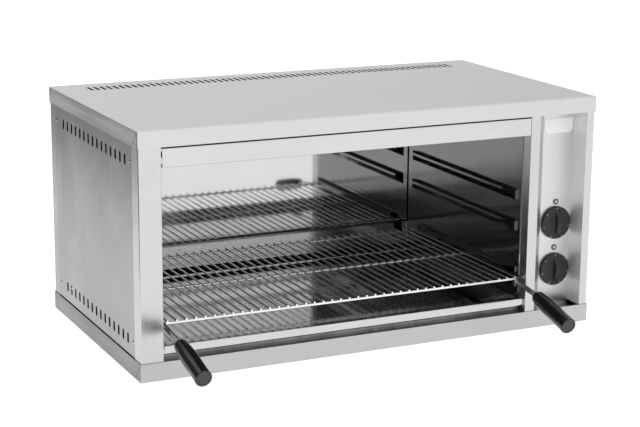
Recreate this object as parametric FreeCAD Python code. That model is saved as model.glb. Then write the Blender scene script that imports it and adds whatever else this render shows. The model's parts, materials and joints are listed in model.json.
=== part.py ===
import FreeCAD, Part
import math
import os

os.makedirs("parts", exist_ok=True)
V = FreeCAD.Vector

# ---------------------------------------------------------------------------
# Countertop cheese melter (overhead grill).  Millimetres.
# Working coordinates: X from the left edge, D = depth behind the front edge of
# the cover, Z up from the surface it stands on.  The row frame has its origin
# at the middle of the base: x = X - W/2, y = D - DEPTH/2, z = Z, front at -y.
# ---------------------------------------------------------------------------

# driving dimensions --------------------------------------------------------
W = 800.0            # width over cover and base
DEPTH = 440.0        # depth over cover and base
H = 385.0            # height
T = 1.2              # outer sheet
TI = 1.0             # inner sheet
INSET = 1.5          # body behind the edges of cover and base

COVER_H = 26.0       # height of the cover's flange
BASE_H = 29.0        # height of the base
BODY_Z0 = BASE_H + 0.05
BODY_Z1 = H - T - 0.2

POST_L = 38.0        # opening starts
OPEN_R = 676.5       # opening ends
STRIP_R = 694.0      # right edge of the inner post's front
BAY_L = 725.0        # left edge of the control panel; the wall before it is slanted
BAY_R = 784.0        # right edge of the control bay
PANEL_D = 40.0       # face of the control panel
BAY_Z = 21.0         # floor of the control bay
RETURN_D = 25.4      # depth of the returns beside the opening

RAIL_Z0 = 327.5      # front top rail
RAIL_Z1 = 356.8
RAIL_X0 = 39.8

LAP_DEEP = 0.7       # groove along the lapped flange corners
LAP_HALF = 0.5

SIDE_D0 = 30.4       # side panel
SIDE_D1 = 411.0
SIDE_Z0 = 31.0
SIDE_Z1 = 358.2
SLOT_N = 15
SLOT_D0 = 60.0
SLOT_PITCH = 21.86
SLOT_W = 7.8
SLOT_H = 17.0
SLOT_TOP_Z = 324.3
SLOT_BOT_Z = 46.3

VENT_N = 63          # slots in the cover
VENT_X0 = 56.5
VENT_PITCH = 11.0
VENT_W = 5.2
VENT_D0 = 373.0
VENT_D1 = 406.0

WALL_L = 38.0        # inner faces of the cavity walls
WALL_R = 676.7
WALL_D0 = 25.8
BACK_D = 418.0       # mirror back wall
MIRROR_GAP = 1.8     # gap between it and the side walls
RETURN_OUT = 1.3     # the return beside the opening leans out, so the wall's front edge stands free
BEAD_H = 8.2         # pressed runner beads, how far they stand out of the wall
# each: (bottom and top at the wall), (bottom and top of its crest), rear end, height, front end
BEADS = (((64.1, 79.3), (68.6, 79.3), 400.0, 8.2, 34.0),
         ((87.6, 98.4), (89.6, 96.4), 382.0, 8.2, 34.0),
         ((159.0, 176.6), (171.2, 176.4), 400.0, 9.2, 38.5),
         ((212.0, 229.6), (224.2, 229.4), 400.0, 9.2, 38.5))
BEAD_NOSE = 3.2      # height of the upper beads' front edge, from which they rise
CEIL_Z = 352.0

TRAY_X0, TRAY_X1 = 41.0, 675.0
TRAY_Z0 = 36.0
TRAY_TOP = 51.0
TRAY_LIP_D = 7.0
TRAY_WALL_D = 16.0
TRAY_REAR_D = 412.5
TRAY_REAR_TOP = 48.5     # side walls
TRAY_BACK_TOP = 38.3     # low rear wall

ROD_R = 2.2          # cross rods of the rack
ROD_Z = 81.8
ROD_D = (23.0, 199.0, 381.0)
ROD_X0, ROD_X1 = 40.8, 673.7
WIRE_N = 41
WIRE_R = 1.6
WIRE_X0 = 51.6
WIRE_PITCH = 15.4
WIRE_D0 = 20.6
WIRE_D1 = 389.0

HANDLE_X = (46.0, 668.6)
HANDLE_R = 2.5
GRIP_D0, GRIP_Z0 = -44.0, 70.0      # rear end of the grip's axis
GRIP_D1, GRIP_Z1 = -141.0, 45.2     # front end
GRIP_R0, GRIP_R1 = 10.6, 13.0

KNOB_X = 754.5
KNOB_Z = (166.5, 85.5)
LAMP_Z = (202.3, 123.2)
KNOB_R = 27.7

ELEM_R = 4.0
ELEM_Z = 330.0
ELEM_PITCH = 48.0
ELEM_D0 = 52.0


# helpers ---------------------------------------------------------------
def P(x, d, z):
    return V(x - W / 2.0, d - DEPTH / 2.0, z)


def bx(x0, x1, d0, d1, z0, z1):
    return Part.makeBox(x1 - x0, d1 - d0, z1 - z0, P(x0, d0, z0))


def cyl(x, d, z, r, h, axis):
    return Part.makeCylinder(r, h, P(x, d, z), axis)


def prism_z(pts, z0, z1):
    """Vertical prism over a polygon of (X, D) points."""
    w = Part.makePolygon([P(a, b, z0) for a, b in pts] + [P(pts[0][0], pts[0][1], z0)])
    return Part.Face(w).extrude(V(0, 0, z1 - z0))


def prism_x(pts, x0, x1):
    """Prism along X over a polygon of (D, Z) points."""
    w = Part.makePolygon([P(x0, a, b) for a, b in pts] + [P(x0, pts[0][0], pts[0][1])])
    return Part.Face(w).extrude(V(x1 - x0, 0, 0))


def prism_d(pts, d0, d1):
    """Prism along the depth over a polygon of (X, Z) points."""
    w = Part.makePolygon([P(a, d0, b) for a, b in pts] + [P(pts[0][0], d0, pts[0][1])])
    return Part.Face(w).extrude(V(0, d1 - d0, 0))


def near(a, b, tol=0.01):
    return abs(a - b) < tol


def fillet_vertical(shape, x, d, r):
    """Round the vertical edge that stands at (X, D)."""
    p = P(x, d, 0)
    es = []
    for e in shape.Edges:
        vs = e.Vertexes
        if len(vs) == 2 and all(near(v.X, p.x) and near(v.Y, p.y) for v in vs):
            es.append(e)
    return shape.makeFillet(r, es)


def edges_where(shape, test):
    return [e for e in shape.Edges if len(e.Vertexes) == 2 and test([v.Point for v in e.Vertexes])]


def slot_x(x0, x1, d, z0, z1, w):
    """Upright slot with round ends cut through a sheet that faces X."""
    r = w / 2.0
    s = bx(x0, x1, d - r, d + r, z0 + r, z1 - r)
    for z in (z0 + r, z1 - r):
        s = s.fuse(cyl(x0, d, z, r, x1 - x0, V(1, 0, 0)))
    return s.removeSplitter()


def slot_d(d0, d1, x, z0, z1, w):
    """Upright slot with round ends cut through a sheet that faces front."""
    r = w / 2.0
    s = bx(x - r, x + r, d0, d1, z0 + r, z1 - r)
    for z in (z0 + r, z1 - r):
        s = s.fuse(cyl(x, d0, z, r, d1 - d0, V(0, 1, 0)))
    return s.removeSplitter()


def cut_many(shape, tools):
    return shape.cut(Part.makeCompound(tools))


def fused(*shapes):
    s = shapes[0]
    if len(shapes) > 1:
        s = s.fuse(list(shapes[1:]))
    return s.removeSplitter()


def save(name, shape):
    if isinstance(shape, (list, tuple)):
        shape = Part.makeCompound(list(shape))
    bad = [i for i, s in enumerate(shape.Solids) if not s.isValid()]
    b = shape.BoundBox
    print("%-26s solids %3d  vol %10.0f  x %.1f..%.1f y %.1f..%.1f z %.1f..%.1f %s" % (
        name, len(shape.Solids), shape.Volume, b.XMin, b.XMax, b.YMin, b.YMax, b.ZMin, b.ZMax,
        "" if not bad else "INVALID %s" % bad))
    shape.exportStep("parts/%s.step" % name)


X1 = V(1, 0, 0)
Y1 = V(0, 1, 0)
Z1 = V(0, 0, 1)

# ---------------------------------------------------------------------------
# base: folded pan, open at the top, with inward returns
# ---------------------------------------------------------------------------
outer = bx(0, W, 0, DEPTH, 0, BASE_H)
outer = outer.makeFillet(1.6, edges_where(outer, lambda p: near(p[0].x, p[1].x) and near(p[0].y, p[1].y)))
inner = bx(T, W - T, T, DEPTH - T, T, BASE_H - T)
well = bx(12, W - 12, 20, DEPTH - 12, BASE_H - 2 * T, BASE_H + 1)
base = outer.cut(inner).cut(well)
# the front return is cut away below the control bay
base = base.cut(prism_z([(STRIP_R - 3.5, 2.2), (BAY_R - 0.6, 2.2), (BAY_R - 0.6, 21.0), (STRIP_R + 10.5, 21.0)],
                        BASE_H - 2 * T, BASE_H + 1))
# lapped corners of the folded flanges on both sides
for xs in (0.0, W):
    s = -0.0 if xs == 0 else 0.0
    for (da, db) in ((2.0, 23.0), (DEPTH - 2.0, DEPTH - 23.0)):
        x0, x1 = (0.0, LAP_DEEP) if xs == 0 else (W - LAP_DEEP, W)
        # a shallow groove along the lap's sloping edge
        dz = BASE_H - 3.0
        n = math.hypot(db - da, dz)
        ux, uz = (db - da) / n, -dz / n
        px, pz = -uz * LAP_HALF, ux * LAP_HALF
        a = (da, 1.5 + dz)
        b = (db, 1.5)
        pts = [(a[0] + px, a[1] + pz), (b[0] + px, b[1] + pz), (b[0] - px, b[1] - pz), (a[0] - px, a[1] - pz)]
        base = base.cut(prism_x(pts, x0, x1))
save("base_plinth", base)

# ---------------------------------------------------------------------------
# cover: folded lid with a row of slots near its rear edge
# ---------------------------------------------------------------------------
outer = bx(0, W, 0, DEPTH, H - COVER_H, H)
outer = outer.makeFillet(1.5, edges_where(outer, lambda p: (near(p[0].z, H) and near(p[1].z, H)) or
                                          (near(p[0].x, p[1].x) and near(p[0].y, p[1].y))))
cover = outer.cut(bx(T, W - T, T, DEPTH - T, H - COVER_H - 1, H - T))
tools = []
for i in range(VENT_N):
    x = VENT_X0 + i * VENT_PITCH
    r = VENT_W / 2.0
    s = bx(x - r, x + r, VENT_D0 + r, VENT_D1 - r, H - 3, H + 1)
    s = s.fuse([cyl(x, VENT_D0 + r, H - 3, r, 4, Z1), cyl(x, VENT_D1 - r, H - 3, r, 4, Z1)]).removeSplitter()
    tools.append(s)
cover = cut_many(cover, tools)
for xs in (0.0, W):
    for (da, db) in ((2.0, 23.0), (DEPTH - 2.0, DEPTH - 23.0)):
        x0, x1 = (0.0, LAP_DEEP) if xs == 0 else (W - LAP_DEEP, W)
        zt, zb = H - 2.2, H - COVER_H + 1.0
        n = math.hypot(db - da, zt - zb)
        ux, uz = (db - da) / n, (zb - zt) / n
        px, pz = -uz * LAP_HALF, ux * LAP_HALF
        pts = [(da + px, zt + pz), (db + px, zb + pz), (db - px, zb - pz), (da - px, zt - pz)]
        cover = cover.cut(prism_x(pts, x0, x1))
save("top_cover", cover)

# ---------------------------------------------------------------------------
# posts
# ---------------------------------------------------------------------------
XL = INSET
XR = W - INSET
DF = INSET
DB = DEPTH - INSET
SCREW_D = (38.0, 402.0)
SCREW_Z = (54.0, 335.0)
SCREW_HOLE = 1.9


def side_screw_holes(shape, left):
    tools = []
    x0 = (XL - 2) if left else (XR - 8)
    for d in SCREW_D:
        for z in SCREW_Z:
            tools.append(cyl(x0, d, z, SCREW_HOLE, 10, X1))
    return cut_many(shape, tools)


p = bx(XL, POST_L, DF, 30.0, BODY_Z0, BODY_Z1)
p = fillet_vertical(p, XL, DF, 1.5)
p = fillet_vertical(p, POST_L, DF, 1.3)
p = p.cut(bx(XL + T, POST_L - T, DF + T, 31, BODY_Z0 - 1, BODY_Z1 + 1))
p = p.cut(bx(POST_L - T - 0.5, POST_L + 1, RETURN_D, 31, BODY_Z0 - 1, BODY_Z1 + 1))
p = fused(p, bx(XL, XL + 2.5, 28.8, 30.0, BODY_Z0, BODY_Z1), bx(XL + 1.3, XL + 2.5, 28.8, 46.0, BODY_Z0, BODY_Z1))
save("left_front_post", side_screw_holes(p, True))

# inner post: flat front, then a slanted wall that leads back to the control panel
vx, vd = BAY_L - STRIP_R, PANEL_D - DF
n = math.hypot(vx, vd)
ox, od = -vd / n * T, vx / n * T         # offset to the hidden side


def slant(t, off=0.0):
    return (STRIP_R + vx * t + ox * off, DF + vd * t + od * off)


t0 = (T - od) / vd                       # where the hidden face meets the strip's rear face
tr = (PANEL_D - 0.1 - DF - od) / vd
tv = (PANEL_D - 0.1 - DF) / vd
p = prism_z([(OPEN_R, DF), slant(0), slant(tv), slant(tr, 1.0), slant(t0, 1.0),
             (OPEN_R + T, DF + T), (OPEN_R + RETURN_OUT + T, RETURN_D), (OPEN_R + RETURN_OUT, RETURN_D)], BODY_Z0, BODY_Z1)
p = fillet_vertical(p, OPEN_R, DF, 1.2)
p = fillet_vertical(p, STRIP_R, DF, 0.9)
# the slanted wall goes on down to the bay's floor
p = fused(p, prism_z([slant(0.03), slant(tv), slant(tr, 1.0), slant(0.03, 1.0)], BAY_Z - 1.0, BODY_Z0 + 2.0))
save("inner_front_post", p)

# right post: outer side, front, and the right wall of the control bay
p = bx(BAY_R, XR, DF, PANEL_D - 0.1, BODY_Z0, BODY_Z1)
p = fillet_vertical(p, XR, DF, 1.5)
p = fillet_vertical(p, BAY_R, DF, 1.0)
p = p.cut(bx(BAY_R + T, XR - T, DF + T, PANEL_D + 1, BODY_Z0 - 1, BODY_Z1 + 1))
p = p.cut(bx(XR - T - 0.5, XR + 1, 30.0, PANEL_D + 1, BODY_Z0 - 1, BODY_Z1 + 1))
p = fused(p, bx(XR - 2.5, XR, 28.8, 30.0, BODY_Z0, BODY_Z1), bx(XR - 2.5, XR - 1.3, 28.8, 46.0, BODY_Z0, BODY_Z1))
save("right_front_post", side_screw_holes(p, False))

REAR_HOLES = [(18.0, 60.0), (18.0, 200.0), (18.0, 330.0), (782.0, 60.0), (782.0, 200.0), (782.0, 330.0)]


def rear_screw_holes(shape):
    return cut_many(shape, [cyl(x, DB - 8, z, SCREW_HOLE, 12, Y1) for x, z in REAR_HOLES])


for side in ("left", "right"):
    if side == "left":
        m = lambda a, b: (a, b)
    else:
        m = lambda a, b: (W - b, W - a)
    a, b = m(XL, 10.0)
    p = bx(a, b, 411.4, DB, BODY_Z0, BODY_Z1)
    p = fillet_vertical(p, XL if side == "left" else XR, DB, 1.5)
    a, b = m(XL + T, 11.0)
    p = p.cut(bx(a, b, 410, DB - T, BODY_Z0 - 1, BODY_Z1 + 1))
    # joggled flanges behind the side and rear panels
    a, b = m(XL + 1.3, XL + 2.5)
    c, d_ = m(XL, XL + 2.5)
    e, f = m(8.8, 10.0)
    g, h = m(8.8, 26.0)
    p = fused(p, bx(c, d_, 411.4, 412.6, BODY_Z0, BODY_Z1), bx(a, b, 395.0, 412.6, BODY_Z0, BODY_Z1),
              bx(e, f, DB - 2.5, DB, BODY_Z0, BODY_Z1), bx(g, h, DB - 2.5, DB - 1.3, BODY_Z0, BODY_Z1))
    p = side_screw_holes(p, side == "left")
    save("%s_rear_post" % side, rear_screw_holes(p))

# ---------------------------------------------------------------------------
# side and rear panels
# ---------------------------------------------------------------------------
for side in ("left", "right"):
    x0, x1 = (XL, XL + TI) if side == "left" else (XR - TI, XR)
    p = bx(x0, x1, SIDE_D0, SIDE_D1, SIDE_Z0, SIDE_Z1)
    tools = []
    for i in range(SLOT_N):
        d = SLOT_D0 + i * SLOT_PITCH
        for z0 in (SLOT_BOT_Z, SLOT_TOP_Z):
            tools.append(slot_x(x0 - 1, x1 + 1, d, z0, z0 + SLOT_H, SLOT_W))
    p = cut_many(p, tools)
    save("%s_side_panel" % side, side_screw_holes(p, side == "left"))

GLAND_X, GLAND_Z = 744.0, 66.0
EARTH_X, EARTH_Z = 712.0, 52.0
p = bx(10.4, W - 10.4, DB - TI, DB, SIDE_Z0, SIDE_Z1 - 0.2)
tools = []
for i in range(15):
    for x in (80.0 + i * 16.0, 496.0 + i * 16.0):
        for z0 in (60.0, 306.0):
            tools.append(slot_d(DB - 3, DB + 1, x, z0, z0 + 24.0, 6.0))
tools.append(cyl(GLAND_X, DB - 3, GLAND_Z, 10.2, 5, Y1))
tools.append(cyl(EARTH_X, DB - 3, EARTH_Z, 3.1, 5, Y1))
p = cut_many(p, tools)
save("rear_panel", rear_screw_holes(p))


# ---------------------------------------------------------------------------
# screws: low domed heads, shank through panel and flange
# ---------------------------------------------------------------------------
def screw(x, d, z, direction, head_r=3.3, head_h=1.2, shank_r=1.75, shank_l=8.0):
    """direction points out of the panel, along X or D; (x, d, z) lies on the panel's face."""
    o = P(x, d, z)
    # dome: part of a sphere above the face
    R = (head_r ** 2 + head_h ** 2) / (2 * head_h)
    c = o + direction * (head_h - R)
    dome = Part.makeSphere(R, c).common(Part.makeCylinder(head_r, head_h + 0.5, o + direction * 0.02, direction))
    sh = Part.makeCylinder(shank_r, shank_l + 0.1, o + direction * 0.1, direction * -1)
    s = dome.fuse(sh).removeSplitter()
    # cross recess
    side = V(0, 0, 1)
    other = direction.cross(side)
    for u, v in ((side, other), (other, side)):
        m = Part.makeBox(3.2, 0.7, 1.0)
        pl = FreeCAD.Placement()
        rot = FreeCAD.Matrix(u.x, v.x, direction.x, 0, u.y, v.y, direction.y, 0, u.z, v.z, direction.z, 0, 0, 0, 0, 1)
        m.translate(V(-1.6, -0.35, 0))
        m = m.transformGeometry(rot)
        m.translate(o + direction * (head_h - 0.7))
        s = s.cut(m)
    return s.Solids[0]


save("left_panel_screws", [screw(XL, d, z, V(-1, 0, 0)) for d in SCREW_D for z in SCREW_Z])
save("right_panel_screws", [screw(XR, d, z, V(1, 0, 0)) for d in SCREW_D for z in SCREW_Z])
save("rear_panel_screws", [screw(x, DB, z, V(0, 1, 0)) for x, z in REAR_HOLES])

# ---------------------------------------------------------------------------
# front top rail: channel that opens to the back
# ---------------------------------------------------------------------------
D0 = 2.2
p = bx(RAIL_X0, OPEN_R - 0.3, D0, RETURN_D, RAIL_Z0, RAIL_Z1)
b = P(0, D0, 0).y
p = p.makeFillet(1.2, edges_where(p, lambda q: near(q[0].y, b) and near(q[1].y, b) and near(q[0].z, q[1].z)))
p = p.cut(bx(0, W, D0 + T, 40, RAIL_Z0 + T, RAIL_Z1 - T))
p = p.cut(bx(0, W, 14, 40, RAIL_Z1 - T - 1, RAIL_Z1 + 1))
save("front_top_rail", p)

# ---------------------------------------------------------------------------
# cavity: side walls with pressed beads, mirror back, lower back, ceiling, floor
# ---------------------------------------------------------------------------


def bead(face_x, sgn, spec):
    """Bead pressed into the cavity (outer skin and the hollow behind it); its rear end tapers."""
    (b0, t0), (b1, t1), rear, height, front = spec
    rise = height > BEAD_H
    nose, run = (BEAD_NOSE, 34.0) if rise else (2.6, 30.0)

    def body(g, d0, d1):
        """g is the sheet taken off the profile."""
        h = height - g
        prof = [(face_x - sgn * 0.5, b0 + g), (face_x, b0 + g), (face_x + sgn * h, b1 + g * 0.7),
                (face_x + sgn * h, t1 - g), (face_x, t0 - g), (face_x - sgn * 0.5, t0 - g)]
        k = prism_d(prof, d0, d1)
        if g == 0.0:
            xx = P(face_x + sgn * h, 0, 0).x
            k = k.makeFillet(1.4 if rise else 2.0,
                             edges_where(k, lambda q: near(q[0].x, xx) and near(q[1].x, xx) and near(q[0].z, q[1].z)))
        # tapered rear end
        cutter = prism_z([(face_x + sgn * (h + 0.2), d1 - 16.0), (face_x + sgn * 0.2, d1), (face_x, d1 + 3),
                          (face_x + sgn * (h + 6), d1 + 3), (face_x + sgn * (h + 6), d1 - 16.0)], b0 - 5, t0 + 5)
        # front end rises from a low edge
        n0 = nose - g
        cutter = cutter.fuse(prism_z([(face_x + sgn * n0, d0 - 3), (face_x + sgn * n0, d0), (face_x + sgn * (h + 0.2), d0 + run),
                                      (face_x + sgn * (h + 6), d0 + run), (face_x + sgn * (h + 6), d0 - 3)], b0 - 5, t0 + 5))
        return k.cut(cutter)

    o = body(0.0, front, rear)
    i = body(TI, front + TI, rear - 2 * TI)
    i = i.fuse(prism_d([(face_x - sgn * 3, b0 + TI), (face_x + sgn * 0.01, b0 + TI), (face_x + sgn * 0.01, t0 - TI),
                        (face_x - sgn * 3, t0 - TI)], front + TI, rear - 2 * TI)).removeSplitter()
    return o, i


WALL_Z0 = BASE_H + 0.3
WALL_Z1 = CEIL_Z - 0.4
holes = []
ends_d = [ELEM_D0, ELEM_D0 + 3 * ELEM_PITCH, ELEM_D0 + 4 * ELEM_PITCH, ELEM_D0 + 7 * ELEM_PITCH]
for side in ("left", "right"):
    if side == "left":
        p = bx(WALL_L - TI, WALL_L, WALL_D0, BACK_D - 0.3, WALL_Z0, WALL_Z1)
        f, s = WALL_L, 1
    else:
        p = bx(WALL_R, WALL_R + TI, WALL_D0, BACK_D - 0.3, WALL_Z0, WALL_Z1)
        f, s = WALL_R, -1
    outs, ins = [], []
    for spec in BEADS:
        o, i = bead(f, s, spec)
        outs.append(o)
        ins.append(i)
    p = p.fuse(outs).removeSplitter()
    p = cut_many(p, ins)
    if side == "right":
        p = cut_many(p, [cyl(WALL_R - 2, d, ELEM_Z, ELEM_R + 0.3, 6, X1) for d in ends_d])
    save("cavity_%s_wall" % side, p)

# mirror back: its foot is rolled to the rear
R = 4.5
zc = 99.5
ML, MR = WALL_L + MIRROR_GAP, WALL_R - MIRROR_GAP
face = bx(ML, MR, BACK_D, BACK_D + TI, zc, WALL_Z1)
ring = Part.makeCylinder(R, MR - ML, P(ML, BACK_D + R, zc), X1)
ring = ring.cut(Part.makeCylinder(R - TI, MR - ML + 2, P(ML - 1, BACK_D + R, zc), X1))
ring = ring.common(bx(0, W, BACK_D, BACK_D + R, zc - R, zc))
foot = bx(ML, MR, BACK_D + R, BACK_D + R + 6, zc - R, zc - R + TI)
save("cavity_back_mirror", fused(face, ring, foot))

LOW_D = BACK_D + 1.2
p = bx(WALL_L - TI, WALL_R + TI, LOW_D, LOW_D + TI, 50.0, zc - R - 0.7)
p = fused(p, bx(WALL_L - TI, WALL_R + TI, LOW_D, LOW_D + 9.0, 50.0, 51.0))
save("cavity_back_lower", p)

save("cavity_ceiling", bx(WALL_L - TI, WALL_R + TI, RETURN_D + 0.4, BACK_D + TI, CEIL_Z, CEIL_Z + TI))
floor = bx(20.0, 686.0, 8.0, 430.0, BASE_H - T - 0.1 - TI, BASE_H - T - 0.1)
# its front has a low upstand under the crumb tray
save("cavity_floor", fused(floor, bx(41.5, 674.5, 20.4, 21.4, BASE_H - T - 0.5, 33.2)))
save("ceiling_insulation", bx(44.0, 672.0, 32.0, 412.0, CEIL_Z + TI + 0.2, CEIL_Z + TI + 20.2))

# rails that the crumb tray runs on: folded Z strips standing on the floor
FLOOR_TOP = BASE_H - T - 0.1
for side in ("left", "right"):
    a = 43.5 if side == "left" else 657.0
    p = fused(bx(a, a + 14, 24, 428, TRAY_Z0 - 0.15 - TI, TRAY_Z0 - 0.15),
              bx(a + (0 if side == "left" else 13), a + (1 if side == "left" else 14), 24, 428, FLOOR_TOP + 0.02, TRAY_Z0 - 0.15),
              bx(a - (8 if side == "left" else -13), a + (1 if side == "left" else 22), 24, 428, FLOOR_TOP + 0.02, FLOOR_TOP + 0.02 + TI))
    save("%s_tray_rail" % side, p)

# ---------------------------------------------------------------------------
# crumb tray: shallow pan with a folded front lip
# ---------------------------------------------------------------------------
tray = [bx(TRAY_X0, TRAY_X1, TRAY_WALL_D, TRAY_REAR_D, TRAY_Z0, TRAY_Z0 + TI),
        bx(TRAY_X0, TRAY_X0 + TI, TRAY_WALL_D, TRAY_REAR_D, TRAY_Z0, TRAY_REAR_TOP),
        bx(TRAY_X1 - TI, TRAY_X1, TRAY_WALL_D, TRAY_REAR_D, TRAY_Z0, TRAY_REAR_TOP),
        bx(TRAY_X0, TRAY_X1, TRAY_REAR_D - TI, TRAY_REAR_D, TRAY_Z0, TRAY_BACK_TOP),
        bx(TRAY_X0, TRAY_X1, TRAY_WALL_D, TRAY_WALL_D + TI, TRAY_Z0, TRAY_TOP)]
lip = bx(TRAY_X0, TRAY_X1, TRAY_LIP_D, TRAY_WALL_D + TI, TRAY_TOP - 10.5, TRAY_TOP)
b = P(0, TRAY_LIP_D, 0).y
lip = lip.makeFillet(1.6, edges_where(lip, lambda q: near(q[0].y, b) and near(q[1].y, b) and near(q[0].z, TRAY_TOP) and near(q[1].z, TRAY_TOP)))
lip = lip.cut(bx(0, W, TRAY_LIP_D + TI, TRAY_WALL_D + 0.5, TRAY_TOP - 12, TRAY_TOP - TI))
# rounded lower corners of the lip
for x, s in ((TRAY_X0, 1), (TRAY_X1, -1)):
    c = bx(min(x, x + s * 5), max(x, x + s * 5), TRAY_LIP_D - 1, TRAY_LIP_D + TI + 0.01, TRAY_TOP - 11, TRAY_TOP - 5.5)
    c = c.cut(cyl(x + s * 5, TRAY_LIP_D - 2, TRAY_TOP - 5.5, 5.0, 6, Y1))
    lip = lip.cut(c)
save("crumb_tray", fused(*(tray + [lip])))

# ---------------------------------------------------------------------------
# rack: cross rods with the wires welded on top
# ---------------------------------------------------------------------------
WIRE_Z = ROD_Z + ROD_R + WIRE_R - 0.3
rods = []
for d in ROD_D:
    r = Part.makeCylinder(ROD_R, ROD_X1 - ROD_X0, P(ROD_X0, d, ROD_Z), X1)
    r = r.makeFillet(0.8, [e for e in r.Edges if e.Curve.TypeId == "Part::GeomCircle"])
    rods.append(r)
wires = []
for i in range(WIRE_N):
    w = Part.makeCylinder(WIRE_R, WIRE_D1 - WIRE_D0, P(WIRE_X0 + i * WIRE_PITCH, WIRE_D0, WIRE_Z), Y1)
    wires.append(w)
grid = rods[0].fuse(rods[1:] + wires)
save("rack_grid", grid)

# handle wires: a doubled wire from each front corner into the grip
g0 = V(0, GRIP_D0, GRIP_Z0)
g1 = V(0, GRIP_D1, GRIP_Z1)
gdir = (g1 - g0)
GL = gdir.Length
gdir.normalize()
gup = V(0, -gdir.z, gdir.y)
if gup.z < 0:
    gup = gup * -1
HALF = HANDLE_R + 0.15


def seg(a, b, r):
    return Part.makeCylinder(r, (b - a).Length, a, b - a)


for k, hx in enumerate(HANDLE_X):
    def G(p, x=hx):
        return P(x, p.y, p.z)
    deep = 82.0
    up0 = V(0, ROD_D[0] - ROD_R - 0.08 + 0.4, ROD_Z + 2.2)
    lo0 = V(0, ROD_D[0] - ROD_R - 0.08 - 0.9, ROD_Z - 4.9)
    pu = g0 + gup * HALF - gdir * 3.0
    pl = g0 - gup * HALF - gdir * 3.0
    eu = g0 + gup * HALF + gdir * deep
    el = g0 - gup * HALF + gdir * deep
    up0 = V(0, ROD_D[0] - ROD_R - 0.1, ROD_Z + 0.4)
    parts = [seg(G(up0), G(pu), HANDLE_R), Part.makeSphere(HANDLE_R, G(pu)), seg(G(pu), G(eu), HANDLE_R),
             seg(G(lo0), G(pl), HANDLE_R), Part.makeSphere(HANDLE_R, G(pl)), seg(G(pl), G(el), HANDLE_R)]
    # U bend at the far end
    mid = g0 + gdir * deep
    tor = Part.makeTorus(HALF, HANDLE_R, G(mid), X1)
    far = Part.makeCylinder(12.0, 12.0, G(mid), P(0, gdir.y, gdir.z) - P(0, 0, 0))
    parts.append(tor.common(far))
    # lower leg's foot is turned up under the front rod
    parts.append(Part.makeSphere(HANDLE_R, G(lo0)))
    wire = fused(*parts)
    clear = Part.makeCylinder(ROD_R + 0.06, 60, P(hx - 30, ROD_D[0], ROD_Z), X1)
    wire = wire.cut(clear)
    solids = sorted(wire.Solids, key=lambda s: -s.Volume)
    save("%s_handle_wire" % ("left" if k == 0 else "right"), solids[0])

# grips: barrel shaped, domed at the rear, rounded at the front rim, blind bore
BARREL = [(7.5, 10.9), (16.0, 11.7), (28.0, 12.6), (44.0, 13.1), (62.0, 13.15), (80.0, 13.1), (GL - 1.6, 13.3)]
for k, hx in enumerate(HANDLE_X):
    o = P(hx, GRIP_D0, GRIP_Z0)

    def Q(sr, o=o):
        return o + gdir * sr[0] + gup * sr[1]
    dome = [(0.0, 6.3), (0.35, 7.3), (1.3, 8.5), (2.9, 9.6), (5.0, 10.4), (7.5, 10.9)]
    rim = [(GL - 1.6, 13.3), (GL - 0.95, 13.15), (GL - 0.4, 12.75), (GL - 0.08, 12.2), (GL, 11.7)]
    edges = [Part.makeLine(Q((0.0, 5.6)), Q(dome[0]))]
    for run in (dome, BARREL, rim):
        c = Part.BSplineCurve()
        c.interpolate([Q(t) for t in run])
        edges.append(c.toShape())
    face_pts = [(GL, 11.7), (GL, 10.2), (GL - 0.45, 9.9), (GL - 0.45, 0.0), (90.0, 0.0), (90.0, 5.6), (0.0, 5.6)]
    for u, v in zip(face_pts[:-1], face_pts[1:]):
        edges.append(Part.makeLine(Q(u), Q(v)))
    face = Part.Face(Part.Wire(edges))
    g = face.revolve(o, gdir, 360)
    if not g.isValid() or g.Volume < 0:
        g = Part.Solid(g.Shells[0]) if g.Shells else g
        if g.Volume < 0:
            g.reverse()
    save("%s_grip" % ("left" if k == 0 else "right"), g)

# ---------------------------------------------------------------------------
# heating elements: two sheathed tubes under the ceiling, ends to the right
# ---------------------------------------------------------------------------
EX0, EX1, EXE = 92.0, 632.0, 700.0
for k, name in enumerate(("front_heating_element", "rear_heating_element")):
    d = [ELEM_D0 + (4 * k + i) * ELEM_PITCH for i in range(4)]
    r = ELEM_PITCH / 2.0
    z = ELEM_Z
    es = [Part.makeLine(P(EXE, d[0], z), P(EX0, d[0], z)),
          Part.Arc(P(EX0, d[0], z), P(EX0 - r, d[0] + r, z), P(EX0, d[1], z)).toShape(),
          Part.makeLine(P(EX0, d[1], z), P(EX1, d[1], z)),
          Part.Arc(P(EX1, d[1], z), P(EX1 + r, d[1] + r, z), P(EX1, d[2], z)).toShape(),
          Part.makeLine(P(EX1, d[2], z), P(EX0, d[2], z)),
          Part.Arc(P(EX0, d[2], z), P(EX0 - r, d[2] + r, z), P(EX0, d[3], z)).toShape(),
          Part.makeLine(P(EX0, d[3], z), P(EXE, d[3], z))]
    path = Part.Wire(es)
    circ = Part.Wire(Part.makeCircle(ELEM_R, P(EXE, d[0], z), X1))
    tube = path.makePipeShell([circ], True, False)
    length = sum(e.Length for e in es)
    print("element", name, "volume ratio", tube.Volume / (math.pi * ELEM_R ** 2 * length))
    save(name, tube)

save("element_bushes", [cyl(EXE + 0.05, d, ELEM_Z, 4.6, 7.0, X1).cut(cyl(EXE - 1, d, ELEM_Z, 2.1, 10, X1)) for d in ends_d])
save("element_studs", [cyl(EXE + 0.05, d, ELEM_Z, 2.0, 16.0, X1) for d in ends_d])

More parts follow.
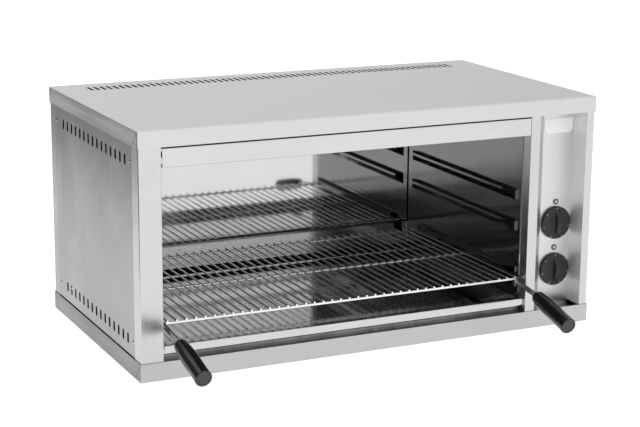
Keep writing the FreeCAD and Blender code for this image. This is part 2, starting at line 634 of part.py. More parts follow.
pass_d = [ELEM_D0 + i * ELEM_PITCH for i in range(8)]
for name, x in (("left", 160.0), ("middle", 360.0), ("right", 560.0)):
    p = bx(x, x + 1.2, 38.0, 402.0, ELEM_Z - 9.0, CEIL_Z - 0.1)
    p = fused(p, bx(x, x + 14.0, 38.0, 402.0, CEIL_Z - 1.1, CEIL_Z - 0.1))
    tools = [cyl(x - 1, d, ELEM_Z, ELEM_R + 0.35, 4, X1) for d in pass_d]
    tools += [bx(x - 1, x + 3, d + 12, d + 36, ELEM_Z - 10, ELEM_Z + 12) for d in pass_d[:-1]]
    save("element_hanger_%s" % name, cut_many(p, tools))

# ---------------------------------------------------------------------------
# control panel, badge plate, knobs, regulators, lamps
# ---------------------------------------------------------------------------
p = bx(BAY_L - 3.0, XR - 3.0, PANEL_D, PANEL_D + T, BAY_Z - T, BODY_Z1)
p = fused(p, prism_z([(STRIP_R + 3.0, 3.0), (BAY_R - 0.3, 3.0), (BAY_R - 0.3, PANEL_D + 0.1), (BAY_L + 0.3, PANEL_D + 0.1)],
                     BAY_Z - T, BAY_Z))
tools = [cyl(KNOB_X, PANEL_D - 2, z, 5.0, 6, Y1) for z in KNOB_Z]
tools += [cyl(KNOB_X, PANEL_D - 2, z, 4.2, 6, Y1) for z in LAMP_Z]
tools.append(bx(W - 13.0, W, PANEL_D - 5, PANEL_D + 5, 0, BODY_Z0 + 0.5))
save("control_panel", cut_many(p, tools))

# blank plate: wide at the top, lower corners well rounded
bw = 28.3
zt, zb = 345.0, 320.0
bc = 754.0
p = bx(bc - bw, bc + bw, PANEL_D - 0.6, PANEL_D - 0.02, zb, zt)
for sx in (-1, 1):
    for zz, r in ((zb, 11.0), (zt, 2.0)):
        a = P(bc + sx * bw, 0, 0).x
        p = p.makeFillet(r, edges_where(p, lambda q, a=a, zz=zz: all(near(v.x, a) and near(v.z, zz) for v in q)))
save("blank_badge", p)

SKIRT_D1 = PANEL_D - 1.0     # rear of the knob's skirt
SKIRT_D0 = SKIRT_D1 - 5.0    # its face
FIN_H = 10.0
FIN_W = 8.0
FIN_L = 44.0
FIN_R = 4.6                  # hollow at the foot of the grip bar
for name, z, zl in (("upper", KNOB_Z[0], LAMP_Z[0]), ("lower", KNOB_Z[1], LAMP_Z[1])):
    k = Part.makeCylinder(KNOB_R, 5.0, P(KNOB_X, SKIRT_D0, z), Y1)
    front = P(0, SKIRT_D0, 0).y
    k = k.makeFillet(1.2, [e for e in k.Edges if e.Curve.TypeId == "Part::GeomCircle" and near(e.Vertexes[0].Y, front)])
    # arched grip bar with hollow flanks
    h = FIN_H
    R = ((FIN_L / 2) ** 2 + h ** 2) / (2 * h)
    w = FIN_W / 2
    c45 = FIN_R * (1 - math.sqrt(0.5))
    Q = lambda x, y: P(KNOB_X + x, SKIRT_D0 - y, z - 30)
    outline = [Part.makeLine(Q(-w - FIN_R, -0.8), Q(-w - FIN_R, 0)),
               Part.Arc(Q(-w - FIN_R, 0), Q(-w - c45, c45), Q(-w, FIN_R)).toShape(),
               Part.makeLine(Q(-w, FIN_R), Q(-w, h + 2)), Part.makeLine(Q(-w, h + 2), Q(w, h + 2)), Part.makeLine(Q(w, h + 2), Q(w, FIN_R)),
               Part.Arc(Q(w, FIN_R), Q(w + c45, c45), Q(w + FIN_R, 0)).toShape(),
               Part.makeLine(Q(w + FIN_R, 0), Q(w + FIN_R, -0.8)), Part.makeLine(Q(w + FIN_R, -0.8), Q(-w - FIN_R, -0.8))]
    fin = Part.Face(Part.Wire(outline)).extrude(Z1 * 60)
    disc = Part.makeCylinder(R, 24.0, P(KNOB_X - 12.0, SKIRT_D0 - h + R, z), X1)
    fin = fin.common(disc)
    tip = [e for e in fin.Edges if e.Curve.TypeId == "Part::GeomCircle" and near(e.Curve.Radius, R)
           and all(near(abs(v.X - P(KNOB_X, 0, 0).x), w) for v in e.Vertexes)]
    try:
        fin = fin.makeFillet(0.9, tip)
    except Exception:
        print("fin fillet skipped", len(tip))
    k = k.fuse(fin).removeSplitter()
    # hub at the back, bored for the spindle
    k = k.cut(cyl(KNOB_X, SKIRT_D0 - 6.0, z, 3.03, 20, Y1))
    save("%s_knob" % name, k)
    # spindle turns with the knob
    s = Part.makeCylinder(3.0, 44.0, P(KNOB_X, SKIRT_D0 - 5.8, z), Y1)
    save("%s_knob_shaft" % name, s)
    # energy regulator behind the panel
    b0 = PANEL_D + T + 0.1
    body = bx(KNOB_X - 19, KNOB_X + 19, b0, b0 + 34.0, z - 21, z + 21)
    body = body.makeFillet(2.0, edges_where(body, lambda q: near(q[0].x, q[1].x) and near(q[0].z, q[1].z)))
    neck = Part.makeCylinder(4.85, b0 - PANEL_D + 0.6 + 0.5, P(KNOB_X, PANEL_D - 0.6, z), Y1)
    body = body.fuse(neck).removeSplitter()
    for tx in (-10, 10):
        for tz in (-14, 0, 14):
            body = body.fuse(bx(KNOB_X + tx - 3.1, KNOB_X + tx + 3.1, b0 + 33.9, b0 + 42.0, z + tz - 0.4, z + tz + 0.4))
    body = body.cut(cyl(KNOB_X, PANEL_D - 2, z, 3.05, 2 + 33.0 + 1.6, Y1)).removeSplitter()
    save("%s_regulator" % name, body)
    # pilot lamp
    bez = cyl(KNOB_X, PANEL_D - 1.4, zl, 5.1, 1.38, Y1)
    f0 = P(0, PANEL_D - 1.4, 0).y
    bez = bez.makeFillet(0.6, [e for e in bez.Edges if e.Curve.TypeId == "Part::GeomCircle" and near(e.Vertexes[0].Y, f0)])
    bez = bez.fuse(cyl(KNOB_X, PANEL_D - 0.5, zl, 4.1, 15.0, Y1)).removeSplitter()
    bez = bez.cut(cyl(KNOB_X, PANEL_D - 3, zl, 2.45, 30, Y1))
    save("%s_lamp_bezel" % name, bez)
    lens = cyl(KNOB_X, PANEL_D - 1.7, zl, 2.4, 8.0, Y1)
    f1 = P(0, PANEL_D - 1.7, 0).y
    lens = lens.makeFillet(1.0, [e for e in lens.Edges if e.Curve.TypeId == "Part::GeomCircle" and near(e.Vertexes[0].Y, f1)])
    save("%s_lamp_lens" % name, lens)

# ---------------------------------------------------------------------------
# electrics in the right hand compartment
# ---------------------------------------------------------------------------
tb = bx(702.0, 766.0, 414.0, 436.5, 84.0, 108.0)
tools = []
for i in range(5):
    x = 709.5 + i * 12.3
    tools.append(cyl(x, 410.0, 96.0, 2.6, 8.0, Y1))
    tools.append(bx(x - 3.4, x + 3.4, 417.0, 433.0, 82.0, 87.0))
save("terminal_block", cut_many(tb, tools))

gl = Part.makeCylinder(14.0, 5.0, P(GLAND_X, DB + 0.02, GLAND_Z), Y1)
hexp = []
for i in range(6):
    a = math.radians(60 * i)
    hexp.append((GLAND_X + 13.0 * math.cos(a), GLAND_Z + 13.0 * math.sin(a)))
gl = gl.fuse(prism_d(hexp, DB + 4.9, DB + 12.0))
gl = gl.fuse(Part.makeCone(11.5, 8.5, 8.0, P(GLAND_X, DB + 11.9, GLAND_Z), Y1))
gl = gl.fuse(Part.makeCylinder(10.0, 12.0, P(GLAND_X, DB - 11.5, GLAND_Z), Y1)).removeSplitter()
gl = gl.cut(Part.makeCylinder(5.2, 60.0, P(GLAND_X, DB - 20, GLAND_Z), Y1))
save("cable_gland", gl)
hexp = []
for i in range(6):
    a = math.radians(60 * i + 30)
    hexp.append((GLAND_X + 15.5 * math.cos(a), GLAND_Z + 15.5 * math.sin(a)))
nut = prism_d(hexp, DB - TI - 5.2, DB - TI - 0.05).cut(cyl(GLAND_X, DB - 20, GLAND_Z, 10.05, 30, Y1))
save("cable_gland_nut", nut)

hexp = []
for i in range(6):
    a = math.radians(60 * i)
    hexp.append((EARTH_X + 5.6 * math.cos(a), EARTH_Z + 5.6 * math.sin(a)))
eb = Part.makeCylinder(3.0, 22.0, P(EARTH_X, DB - 9.0, EARTH_Z), Y1).fuse(prism_d(hexp, DB + 0.05, DB + 4.0)).removeSplitter()
save("earth_bolt", eb)

# heat shield between the cavity and the electrics
p = bx(688.0, 689.0, 44.0, 432.0, BODY_Z0 + 0.3, 372.0)
p = fused(p, bx(688.0, 699.0, 44.0, 432.0, BODY_Z0 + 0.3, BODY_Z0 + 1.3))
p = cut_many(p, [cyl(685, d, ELEM_Z, 9.0, 8, X1) for d in ends_d])
save("heat_shield", p)

# hanger tabs that tie the cavity walls to the side panels, seen through a slot
for side in ("left", "right"):
    dc = SLOT_D0 + 9 * SLOT_PITCH
    if side == "left":
        p = fused(bx(XL + TI + 0.6, XL + TI + 1.8, dc - 8, dc + 8, 314.0, 352.0),
                  bx(XL + TI + 0.6, WALL_L - TI - 0.1, dc - 8, dc + 8, 314.0, 315.2),
                  bx(WALL_L - TI - 1.3, WALL_L - TI - 0.1, dc - 8, dc + 8, 296.0, 315.2))
    else:
        p = fused(bx(XR - TI - 1.8, XR - TI - 0.6, dc - 8, dc + 8, 314.0, 352.0),
                  bx(XR - TI - 30.0, XR - TI - 0.6, dc - 8, dc + 8, 314.0, 315.2))
    save("%s_hanger_tab" % side, p)
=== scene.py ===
import json
import math

import bmesh
import bpy
from mathutils import Matrix, Vector


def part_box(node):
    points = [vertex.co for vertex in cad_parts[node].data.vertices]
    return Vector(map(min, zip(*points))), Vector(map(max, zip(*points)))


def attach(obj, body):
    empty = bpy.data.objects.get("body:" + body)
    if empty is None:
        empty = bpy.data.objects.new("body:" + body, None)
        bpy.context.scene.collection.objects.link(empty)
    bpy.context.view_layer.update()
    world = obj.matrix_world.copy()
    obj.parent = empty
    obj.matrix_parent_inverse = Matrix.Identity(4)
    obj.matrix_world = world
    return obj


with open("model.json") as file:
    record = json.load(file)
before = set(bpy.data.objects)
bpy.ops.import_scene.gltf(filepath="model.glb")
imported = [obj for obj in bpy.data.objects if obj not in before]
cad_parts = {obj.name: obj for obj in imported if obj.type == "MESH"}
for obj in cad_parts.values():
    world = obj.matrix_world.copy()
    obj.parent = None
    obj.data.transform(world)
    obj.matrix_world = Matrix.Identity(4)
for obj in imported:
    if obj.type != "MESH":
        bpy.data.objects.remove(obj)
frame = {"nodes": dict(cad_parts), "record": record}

ROOM = 0.05
OVERHEAD = 1.2
COVE = 0.85
SOFT = 1.0
WALLS = 0.7
TOP_W = 10.0
CARD_X, CARD_H, CARD_C = -0.95, 0.7, 0.14
FRONT_W = 26.0
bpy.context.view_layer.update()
nodes = frame["nodes"]


# ---------------------------------------------------------------------------
# node helpers
# ---------------------------------------------------------------------------
class Mat:
    """A small wrapper round a node material."""

    def __init__(self, name):
        self.m = bpy.data.materials.new(name)
        self.m.use_nodes = True
        self.t = self.m.node_tree
        self.t.nodes.clear()
        self.out = self.add("ShaderNodeOutputMaterial")
        self.b = self.add("ShaderNodeBsdfPrincipled")
        self.link(self.b.outputs[0], self.out.inputs["Surface"])

    def add(self, kind, **kw):
        n = self.t.nodes.new(kind)
        for k, v in kw.items():
            setattr(n, k, v)
        return n

    def link(self, a, b):
        self.t.links.new(a, b)

    def set(self, **kw):
        for k, v in kw.items():
            self.b.inputs[k.replace("_", " ")].default_value = v
        return self

    def coords(self, scale=(1, 1, 1), loc=(0, 0, 0), rot=(0, 0, 0)):
        tc = self.add("ShaderNodeTexCoord")
        mp = self.add("ShaderNodeMapping")
        mp.inputs["Scale"].default_value = scale
        mp.inputs["Location"].default_value = loc
        mp.inputs["Rotation"].default_value = rot
        self.link(tc.outputs["Object"], mp.inputs["Vector"])
        return mp.outputs["Vector"]

    def noise(self, vec, scale=1.0, detail=2.0, rough=0.5, distortion=0.0):
        n = self.add("ShaderNodeTexNoise")
        n.inputs["Scale"].default_value = scale
        n.inputs["Detail"].default_value = detail
        n.inputs["Roughness"].default_value = rough
        n.inputs["Distortion"].default_value = distortion
        self.link(vec, n.inputs["Vector"])
        return n.outputs["Fac"]

    def rng(self, v, a, b, lo=0.0, hi=1.0, kind="LINEAR"):
        n = self.add("ShaderNodeMapRange", interpolation_type=kind)
        n.inputs["From Min"].default_value = lo
        n.inputs["From Max"].default_value = hi
        n.inputs["To Min"].default_value = a
        n.inputs["To Max"].default_value = b
        self.link(v, n.inputs["Value"])
        return n.outputs["Result"]

    def math(self, op, a, b=None, clamp=False):
        n = self.add("ShaderNodeMath", operation=op, use_clamp=clamp)
        for i, v in enumerate((a, b)):
            if v is None:
                continue
            if isinstance(v, (int, float)):
                n.inputs[i].default_value = v
            else:
                self.link(v, n.inputs[i])
        return n.outputs[0]

    def mix(self, fac, c1, c2):
        n = self.add("ShaderNodeMix", data_type="RGBA")
        for i, v in ((6, c1), (7, c2)):
            if isinstance(v, tuple):
                n.inputs[i].default_value = v + (1.0,) if len(v) == 3 else v
            else:
                self.link(v, n.inputs[i])
        if isinstance(fac, (int, float)):
            n.inputs[0].default_value = fac
        else:
            self.link(fac, n.inputs[0])
        return n.outputs[2]

    def facing(self, direction, lo, hi):
        """1 where the surface, in its own object's space, faces that direction."""
        tc = self.add("ShaderNodeTexCoord")
        dot = self.add("ShaderNodeVectorMath", operation="DOT_PRODUCT")
        self.link(tc.outputs["Normal"], dot.inputs[0])
        dot.inputs[1].default_value = direction
        return self.rng(dot.outputs["Value"], 0.0, 1.0, lo, hi, "SMOOTHSTEP")

    def bump(self, height, strength, dist, normal=None):
        n = self.add("ShaderNodeBump")
        n.inputs["Strength"].default_value = strength
        n.inputs["Distance"].default_value = dist
        self.link(height, n.inputs["Height"])
        if normal is not None:
            self.link(normal, n.inputs["Normal"])
        return n.outputs["Normal"]


GRAIN = {"X": (4.0, 2400.0, 2400.0), "Y": (2400.0, 4.0, 2400.0), "Z": (2400.0, 2400.0, 4.0)}
BAND = {"X": (0.8, 130.0, 130.0), "Y": (130.0, 0.8, 130.0), "Z": (130.0, 130.0, 0.8)}


def brushed(name, grain="X", tangent="X", color=(0.62, 0.62, 0.613), rough=(0.25, 0.33), aniso=0.6,
            band=0.015, bump=0.008, smudge=0.03, painted_shade_side=None, dull=None, painted_side_light=None, edge=(0.3, 0.5)):
    """Brushed stainless: fine lines along the grain, wider soft bands, faint wiping marks.

    painted_shade_side is the direction of the sheet's unseen side, which is painted dark as painted shade; dull is
    the direction of a side that has been rubbed rougher; painted_side_light multiplies the colour of the side that
    faces a direction, as painted shade below 1 and painted light above 1."""
    m = Mat(name)
    m.set(Metallic=1.0, Anisotropic=aniso)
    if aniso:
        tg = m.add("ShaderNodeTangent", direction_type="RADIAL", axis=tangent)
        m.link(tg.outputs[0], m.b.inputs["Tangent"])
    fine = m.noise(m.coords(GRAIN[grain]), 1.0, 3.0, 0.6)
    wide = m.noise(m.coords(BAND[grain]), 1.0, 2.0, 0.5)
    wipe = m.noise(m.coords((1.0, 1.0, 1.0)), 7.0, 3.0, 0.55, 0.6)
    lines = m.math("ADD", m.math("MULTIPLY", fine, 0.5), m.math("MULTIPLY", wide, 0.5))
    dark = tuple(c * (1 - band) for c in color)
    light = tuple(min(1.0, c * (1 + band)) for c in color)
    tone = m.mix(m.rng(lines, 0, 1, 0.32, 0.68), dark, light)
    # painted side light: the side facing the given direction has its colour multiplied, darker as painted shade,
    # lighter as painted light
    if painted_side_light:
        tone = m.mix(m.facing(painted_side_light[0], 0.8, 0.95), tone, tuple(c * painted_side_light[1] for c in color))
    # painted shade: the sheet's unseen side is painted near black
    if painted_shade_side:
        tone = m.mix(m.facing(painted_shade_side, *edge), tone, (0.045, 0.043, 0.04))
    m.link(tone, m.b.inputs["Base Color"])
    r = m.math("ADD", m.rng(fine, rough[0], rough[1], 0.3, 0.7), m.rng(wipe, -smudge, smudge, 0.35, 0.65))
    if painted_shade_side:
        r = m.math("ADD", r, m.math("MULTIPLY", m.facing(painted_shade_side, *edge), 0.4))
    if dull:
        r = m.math("ADD", r, m.math("MULTIPLY", m.facing(dull, 0.8, 0.95), 0.2))
    m.link(m.math("MAXIMUM", r, 0.04), m.b.inputs["Roughness"])
    m.link(m.bump(fine, bump, 0.0001), m.b.inputs["Normal"])
    return m.m


def polished(name, color=(0.60, 0.60, 0.59), rough=(0.05, 0.09), wave=0.15):
    """Mirror polished sheet that isn't quite flat."""
    m = Mat(name)
    m.set(Metallic=1.0)
    wipe = m.noise(m.coords(), 9.0, 4.0, 0.6, 0.8)
    m.link(m.rng(wipe, rough[0], rough[1], 0.3, 0.7), m.b.inputs["Roughness"])
    m.link(m.mix(m.rng(wipe, 0, 1, 0.3, 0.7), tuple(c * 0.96 for c in color), color), m.b.inputs["Base Color"])
    if wave:
        big = m.noise(m.coords(), 3.5, 1.0, 0.4)
        m.link(m.bump(big, wave, 0.002), m.b.inputs["Normal"])
    return m.m


MATS = {}
MATS["cover_steel"] = brushed("cover_steel", "X", "X")
# painted shade: the plinth's left-facing side is painted darker
MATS["base_steel"] = brushed("base_steel", "X", "X", color=(0.50, 0.50, 0.494), painted_side_light=((-1.0, 0.0, 0.0), 0.44))
POST = dict(color=(0.585, 0.585, 0.578))
MATS["post_steel"] = brushed("post_steel", "Z", "Z", **POST)
# painted shade: the rear post's left-facing side is painted darker
MATS["post_rear"] = brushed("post_rear", "Z", "Z", painted_side_light=((-1.0, 0.0, 0.0), 0.72), **POST)
MATS["panel_steel"] = brushed("panel_steel", "Z", "Z", color=(0.69, 0.69, 0.683), rough=(0.34, 0.42))
SIDE = dict(color=(0.37, 0.37, 0.366), rough=(0.26, 0.34), edge=(-0.5, -0.2))
MATS["side_steel"] = brushed("side_steel", "Z", "Z", **SIDE)
# painted shade: the inner faces of the side and rear panels are painted dark
MATS["side_left"] = brushed("side_left", "Z", "Z", painted_shade_side=(1.0, 0.0, 0.0), **SIDE)
MATS["side_right"] = brushed("side_right", "Z", "Z", painted_shade_side=(-1.0, 0.0, 0.0), **SIDE)
MATS["side_rear"] = brushed("side_rear", "Z", "Z", painted_shade_side=(0.0, -1.0, 0.0), **SIDE)
# painted light: the post's face into the control bay is painted 1.55 times lighter
MATS["post_right"] = brushed("post_right", "Z", "Z", dull=(-1.0, 0.0, 0.0), painted_side_light=((-1.0, 0.0, 0.0), 1.55), **POST)
# painted shade: the cavity's steel is set to a low colour to stand in for the shade inside the cavity
INNER_PAINTED_SHADE = dict(color=(0.26, 0.26, 0.258), rough=(0.09, 0.14), aniso=0.3, bump=0.01, smudge=0.02)
MATS["inner_steel"] = brushed("inner_steel", "Y", "Y", **INNER_PAINTED_SHADE)
# painted shade: each inner sheet's outer face is also painted dark
MATS["inner_left"] = brushed("inner_left", "Y", "Y", painted_shade_side=(-1.0, 0.0, 0.0), **INNER_PAINTED_SHADE)
MATS["inner_right"] = brushed("inner_right", "Y", "Y", painted_shade_side=(1.0, 0.0, 0.0), **INNER_PAINTED_SHADE)
MATS["inner_top"] = brushed("inner_top", "Y", "Y", painted_shade_side=(0.0, 0.0, 1.0), **INNER_PAINTED_SHADE)
# painted shade: the top cover's underside is painted dark
MATS["cover_top"] = brushed("cover_top", "X", "X", smudge=0.012, painted_shade_side=(0.0, 0.0, -1.0))
MATS["mirror_steel"] = polished("mirror_steel", rough=(0.035, 0.055), wave=0.1)
MATS["tray_steel"] = brushed("tray_steel", "X", "X", color=(0.60, 0.60, 0.59), rough=(0.07, 0.11), aniso=0.3, bump=0.01, smudge=0.015)
MATS["lower_steel"] = brushed("lower_steel", "X", "X", color=(0.58, 0.58, 0.575), rough=(0.07, 0.11), aniso=0.3, bump=0.01, smudge=0.015)


def galvanised():
    m = Mat("galvanised")
    m.set(Metallic=1.0)
    v = m.add("ShaderNodeTexVoronoi")
    v.inputs["Scale"].default_value = 90.0
    v.inputs["Randomness"].default_value = 1.0
    m.link(m.coords(), v.inputs["Vector"])
    g = m.add("ShaderNodeSeparateColor")
    m.link(v.outputs["Color"], g.inputs[0])
    m.link(m.mix(g.outputs[0], (0.36, 0.37, 0.38), (0.52, 0.53, 0.54)), m.b.inputs["Base Color"])
    m.link(m.rng(g.outputs[1], 0.32, 0.5), m.b.inputs["Roughness"])
    m.link(m.bump(g.outputs[0], 0.05, 0.0001), m.b.inputs["Normal"])
    return m.m


MATS["galvanised"] = galvanised()


def wire_chrome():
    m = Mat("wire_chrome")
    m.set(Metallic=1.0)
    n = m.noise(m.coords(), 60.0, 3.0, 0.6)
    m.link(m.mix(m.rng(n, 0, 1, 0.35, 0.65), (0.84, 0.835, 0.825), (0.93, 0.925, 0.915)), m.b.inputs["Base Color"])
    m.link(m.rng(n, 0.08, 0.15, 0.3, 0.7), m.b.inputs["Roughness"])
    return m.m


MATS["wire_chrome"] = wire_chrome()


def screw_steel():
    m = Mat("screw_steel")
    m.set(Metallic=1.0)
    n = m.noise(m.coords(), 400.0, 2.0)
    m.link(m.mix(n, (0.55, 0.54, 0.52), (0.68, 0.67, 0.66)), m.b.inputs["Base Color"])
    m.link(m.rng(n, 0.18, 0.32), m.b.inputs["Roughness"])
    return m.m


MATS["screw_steel"] = screw_steel()


def plastic(name, c1, c2, rough, tex_scale=900.0, bump=0.1, bump_dist=0.00008, coat=0.0):
    """Moulded plastic with a fine skin and faint flow marks."""
    m = Mat(name)
    if coat:
        m.set(Coat_Weight=coat, Coat_Roughness=0.12)
    skin = m.noise(m.coords(), tex_scale, 2.0, 0.6)
    flow = m.noise(m.coords((1, 1, 1)), 40.0, 3.0, 0.5, 0.4)
    m.link(m.mix(m.rng(flow, 0, 1, 0.3, 0.7), c1, c2), m.b.inputs["Base Color"])
    m.link(m.math("ADD", m.rng(skin, rough[0], rough[1], 0.3, 0.7), m.rng(flow, -0.03, 0.03, 0.3, 0.7)), m.b.inputs["Roughness"])
    m.link(m.bump(skin, bump, bump_dist), m.b.inputs["Normal"])
    return m.m


MATS["knob_black"] = plastic("knob_black", (0.011, 0.011, 0.0115), (0.014, 0.014, 0.0145), (0.42, 0.52))
MATS["bezel_dark"] = plastic("bezel_dark", (0.075, 0.075, 0.075), (0.10, 0.10, 0.10), (0.35, 0.45))
MATS["lens"] = plastic("lens", (0.62, 0.60, 0.56), (0.72, 0.70, 0.66), (0.12, 0.2), coat=0.5)
MATS["badge"] = plastic("badge", (0.91, 0.91, 0.91), (0.94, 0.94, 0.94), (0.2, 0.26), bump=0.02)
MATS["regulator_body"] = plastic("regulator_body", (0.50, 0.47, 0.40), (0.58, 0.55, 0.48), (0.4, 0.5))
MATS["gland_black"] = plastic("gland_black", (0.012, 0.012, 0.012), (0.018, 0.018, 0.018), (0.4, 0.5))
MATS["ceramic"] = plastic("ceramic", (0.72, 0.69, 0.62), (0.80, 0.77, 0.70), (0.2, 0.35), tex_scale=500.0)


def grip_black():
    """Pressed phenolic: glossy along the barrel, dull greyish face at the front end."""
    m = Mat("grip_black")
    geo = m.add("ShaderNodeTexCoord")
    dot = m.add("ShaderNodeVectorMath", operation="DOT_PRODUCT")
    m.link(geo.outputs["Normal"], dot.inputs[0])
    dot.inputs[1].default_value = (0.0, -0.9688, -0.2477)
    end = m.rng(dot.outputs["Value"], 0.0, 1.0, 0.93, 0.985, "SMOOTHSTEP")
    flow = m.noise(m.coords((1, 1, 1)), 60.0, 3.0, 0.5, 0.4)
    skin = m.noise(m.coords(), 1200.0, 2.0, 0.6)
    barrel = m.mix(flow, (0.006, 0.006, 0.006), (0.010, 0.010, 0.010))
    m.link(m.mix(end, barrel, (0.035, 0.036, 0.037)), m.b.inputs["Base Color"])
    rb = m.rng(flow, 0.10, 0.18, 0.3, 0.7)
    re = m.math("MULTIPLY", end, 0.36)
    m.link(m.math("ADD", rb, re), m.b.inputs["Roughness"])
    m.link(m.bump(skin, 0.05, 0.00005), m.b.inputs["Normal"])
    return m.m


MATS["grip_black"] = grip_black()


def element_sheath():
    m = Mat("element_sheath")
    m.set(Metallic=1.0)
    n = m.noise(m.coords(), 30.0, 4.0, 0.6)
    m.link(m.mix(m.rng(n, 0, 1, 0.3, 0.7), (0.10, 0.09, 0.085), (0.22, 0.20, 0.18)), m.b.inputs["Base Color"])
    m.link(m.rng(n, 0.4, 0.6), m.b.inputs["Roughness"])
    return m.m


MATS["element_sheath"] = element_sheath()


def insulation():
    m = Mat("insulation")
    m.set(Roughness=0.95)
    n = m.noise(m.coords((60, 60, 400)), 1.0, 5.0, 0.65, 1.2)
    m.link(m.mix(n, (0.12, 0.11, 0.075), (0.20, 0.18, 0.13)), m.b.inputs["Base Color"])
    m.link(m.bump(n, 0.5, 0.002), m.b.inputs["Normal"])
    return m.m


MATS["insulation"] = insulation()


def brass():
    m = Mat("brass")
    m.set(Metallic=1.0)
    n = m.noise(m.coords(), 300.0, 3.0)
    m.link(m.mix(n, (0.55, 0.40, 0.16), (0.70, 0.53, 0.24)), m.b.inputs["Base Color"])
    m.link(m.rng(n, 0.22, 0.38), m.b.inputs["Roughness"])
    return m.m


MATS["brass"] = brass()

slot_of = {s["node"]: s["material_slot"] for s in frame["record"]["subparts"]}
SPECIAL = {"crumb_tray": "tray_steel", "left_side_panel": "side_left", "right_side_panel": "side_right",
           "cavity_left_wall": "inner_left", "cavity_right_wall": "inner_right", "cavity_ceiling": "inner_top",
           "top_cover": "cover_top", "right_front_post": "post_right", "base_plinth": "base_steel",
           "control_panel": "panel_steel", "cavity_back_lower": "lower_steel", "left_rear_post": "post_rear",
           "rear_panel": "side_rear"}
for name, o in nodes.items():
    key = SPECIAL.get(name, slot_of[name])
    mat = MATS[key]
    for s in o.material_slots:
        s.material = mat


# ---------------------------------------------------------------------------
# numbers on the knobs
# ---------------------------------------------------------------------------
def plain(name, color, rough):
    m = Mat(name)
    m.set(Roughness=rough)
    n = m.noise(m.coords(), 500.0, 2.0)
    m.link(m.mix(n, tuple(c * 0.94 for c in color), color), m.b.inputs["Base Color"])
    return m.m


PRINT = plain("print_white", (0.85, 0.85, 0.84), 0.5)
for body, node in (("upper_knob", "upper_knob"), ("lower_knob", "lower_knob")):
    lo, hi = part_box(node)
    cx, cz = (lo[0] + hi[0]) / 2, (lo[2] + hi[2]) / 2
    for k, ang in enumerate((0, 51, 103, 155, 205, 257, 309)):
        cu = bpy.data.curves.new("%s_digit_%d" % (body, k), "FONT")
        cu.body = str(k)
        cu.size = 0.0034
        cu.align_x = "CENTER"
        cu.align_y = "CENTER"
        cu.extrude = 0.00008
        cu.resolution_u = 3
        o = bpy.data.objects.new(cu.name, cu)
        bpy.context.collection.objects.link(o)
        bpy.context.view_layer.update()
        me = bpy.data.meshes.new_from_object(o.evaluated_get(bpy.context.evaluated_depsgraph_get()))
        bpy.data.objects.remove(o)
        a = math.radians(ang)
        r = 0.0252
        place = (Matrix.Translation((cx + r * math.sin(a), -0.1860 - 0.00002, cz + r * math.cos(a)))
                 @ Matrix.Rotation(math.radians(90), 4, "X") @ Matrix.Rotation(-a, 4, "Z"))
        me.transform(place)
        me.name = "%s_digit_%d" % (body, k)
        ob = bpy.data.objects.new(me.name, me)
        bpy.context.collection.objects.link(ob)
        me.materials.clear()
        me.materials.append(PRINT)
        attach(ob, body)

# ---------------------------------------------------------------------------
# stage
# ---------------------------------------------------------------------------
FLOOR = Mat("floor")
FLOOR.set(Roughness=0.9)
FLOOR.b.inputs["Specular IOR Level"].default_value = 0.2
n = FLOOR.noise(FLOOR.coords(), 3.0, 2.0)
FLOOR.link(FLOOR.mix(n, (0.29, 0.29, 0.29), (0.31, 0.31, 0.31)), FLOOR.b.inputs["Base Color"])
FLOOR.b.inputs["Emission Color"].default_value = (1.0, 1.0, 1.0, 1.0)
FLOOR.b.inputs["Emission Strength"].default_value = 0.88
me = bpy.data.meshes.new("floor")
S = 30.0
me.from_pydata([(-S, -S, -0.0004), (S, -S, -0.0004), (S, S, -0.0004), (-S, S, -0.0004)], [], [(0, 1, 2, 3)])
floor = bpy.data.objects.new("floor", me)
bpy.context.collection.objects.link(floor)
me.materials.append(FLOOR.m)

world = bpy.data.worlds.new("studio")
bpy.context.scene.world = world
world.use_nodes = True
wt = world.node_tree
wt.nodes.clear()
wo = wt.nodes.new("ShaderNodeOutputWorld")
bg = wt.nodes.new("ShaderNodeBackground")
wt.links.new(bg.outputs[0], wo.inputs[0])
bg.inputs["Strength"].default_value = 1.0


def wnode(kind, **kw):
    n = wt.nodes.new(kind)
    for k, v in kw.items():
        setattr(n, k, v)
    return n


def wmap(v, lo, hi, a, b):
    n = wnode("ShaderNodeMapRange", interpolation_type="SMOOTHSTEP")
    for k, x in (("From Min", lo), ("From Max", hi), ("To Min", a), ("To Max", b)):
        n.inputs[k].default_value = x
    wt.links.new(v, n.inputs["Value"])
    return n.outputs["Result"]


def wdot(az, el):
    """How far a direction points towards that azimuth (0 is +Y, 90 is +X) and elevation."""
    n = wnode("ShaderNodeVectorMath", operation="DOT_PRODUCT")
    wt.links.new(tc.outputs["Generated"], n.inputs[0])
    a, e = math.radians(az), math.radians(el)
    n.inputs[1].default_value = (math.sin(a) * math.cos(e), math.cos(a) * math.cos(e), math.sin(e))
    return n.outputs["Value"]


def wmath(op, a, b):
    n = wnode("ShaderNodeMath", operation=op)
    for i, v in enumerate((a, b)):
        if isinstance(v, (int, float)):
            n.inputs[i].default_value = v
        else:
            wt.links.new(v, n.inputs[i])
    return n.outputs[0]


tc = wnode("ShaderNodeTexCoord")
up_z = wdot(0, 90)
over = wmap(up_z, 0.45, 0.75, 0.0, OVERHEAD)
low = wmap(up_z, 0.35, 0.62, 1.0, 0.0)
cove = wmath("MULTIPLY", wmap(wdot(8, 8), 0.72, 0.97, 0.0, COVE), low)
# a softbox at the front right, low, which the inside of the cavity mirrors
soft = wmap(wdot(154, 14), 0.93, 0.98, 0.0, SOFT)
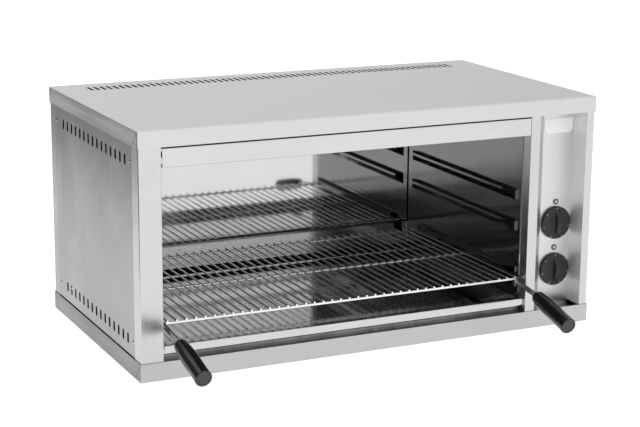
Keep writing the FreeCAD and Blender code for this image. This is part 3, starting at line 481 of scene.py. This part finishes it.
# a paler wall on either side, for the top as seen from the sides
walls = wmath("ADD", wmap(wdot(66, 22), 0.84, 0.97, 0.0, WALLS), wmap(wdot(296, 22), 0.84, 0.97, 0.0, WALLS))
sky = wmath("ADD", wmath("ADD", wmath("ADD", wmath("ADD", over, cove), soft), walls), ROOM)
comb = wnode("ShaderNodeCombineColor")
for i in range(3):
    wt.links.new(sky, comb.inputs[i])
wt.links.new(comb.outputs[0], bg.inputs["Color"])
# the backdrop that shows behind the object is plain and pale
pale = wnode("ShaderNodeBackground")
pale.inputs["Color"].default_value = (1.0, 1.0, 1.0, 1.0)
lp = wnode("ShaderNodeLightPath")
ms = wnode("ShaderNodeMixShader")
wt.links.new(lp.outputs["Is Camera Ray"], ms.inputs[0])
wt.links.new(bg.outputs[0], ms.inputs[1])
wt.links.new(pale.outputs[0], ms.inputs[2])
wt.links.new(ms.outputs[0], wo.inputs[0])


def area(name, loc, target, size, power, size_y=None, spread=180.0):
    li = bpy.data.lights.new(name, "AREA")
    li.shape = "RECTANGLE"
    li.size = size
    li.size_y = size_y or size
    li.energy = power
    li.spread = math.radians(spread)
    o = bpy.data.objects.new(name, li)
    bpy.context.collection.objects.link(o)
    o.location = loc
    d = Vector(target) - Vector(loc)
    o.rotation_mode = "QUATERNION"
    o.rotation_quaternion = d.to_track_quat("-Z", "Y")
    return o


area("top_box", (-0.6, -0.8, 2.6), (0.0, 0.0, 0.3), 1.6, TOP_W)
# a big soft front light for the paint, plastic and print; the steel doesn't mirror it
fill = area("front_box", (-0.5, -3.2, 0.9), (0.1, 0.0, 0.2), 1.6, FRONT_W)
fill.visible_glossy = False
fill.visible_camera = False

# grey card on the left, out of the picture: the side panel mirrors it
me = bpy.data.meshes.new("grey_card")
me.from_pydata([(CARD_X, -1.2, 0.0), (CARD_X, 3.2, 0.0), (CARD_X, 3.2, CARD_H), (CARD_X, -1.2, CARD_H)], [], [(0, 1, 2, 3)])
card = bpy.data.objects.new("grey_card", me)
bpy.context.collection.objects.link(card)
CARD = Mat("grey_card")
CARD.set(Roughness=0.9)
CARD.link(CARD.mix(CARD.noise(CARD.coords(), 2.0), (CARD_C,) * 3, (CARD_C * 1.1,) * 3), CARD.b.inputs["Base Color"])
me.materials.append(CARD.m)
card.visible_camera = False

# ---------------------------------------------------------------------------
# camera, from the photograph's angle
# ---------------------------------------------------------------------------
YAW, PITCH, ROLL = 25.567, -13.573, 0.481
cy, sy = math.cos(math.radians(YAW)), math.sin(math.radians(YAW))
cp, sp = math.cos(math.radians(PITCH)), math.sin(math.radians(PITCH))
cr, sr = math.cos(math.radians(ROLL)), math.sin(math.radians(ROLL))
fwd = Vector((sy * cp, cy * cp, sp))
right = Vector((cy, -sy, 0.0))
up = right.cross(fwd)
r2 = right * cr + up * sr
u2 = right * -sr + up * cr
cam = bpy.data.cameras.new("camera")
cam.sensor_fit = "HORIZONTAL"
cam.sensor_width = 36.0
cam.lens = 95.888
camera = bpy.data.objects.new("camera", cam)
bpy.context.collection.objects.link(camera)
m = Matrix((
    (r2.x, u2.x, -fwd.x, -1.20844),
    (r2.y, u2.y, -fwd.y, -2.52862),
    (r2.z, u2.z, -fwd.z, 0.85258),
    (0, 0, 0, 1),
))
camera.matrix_world = m
cam.clip_start, cam.clip_end = 0.05, 100.0
bpy.context.scene.camera = camera

bpy.context.scene.view_settings.view_transform = "Standard"
bpy.context.scene.view_settings.look = "None"

bpy.context.view_layer.update()
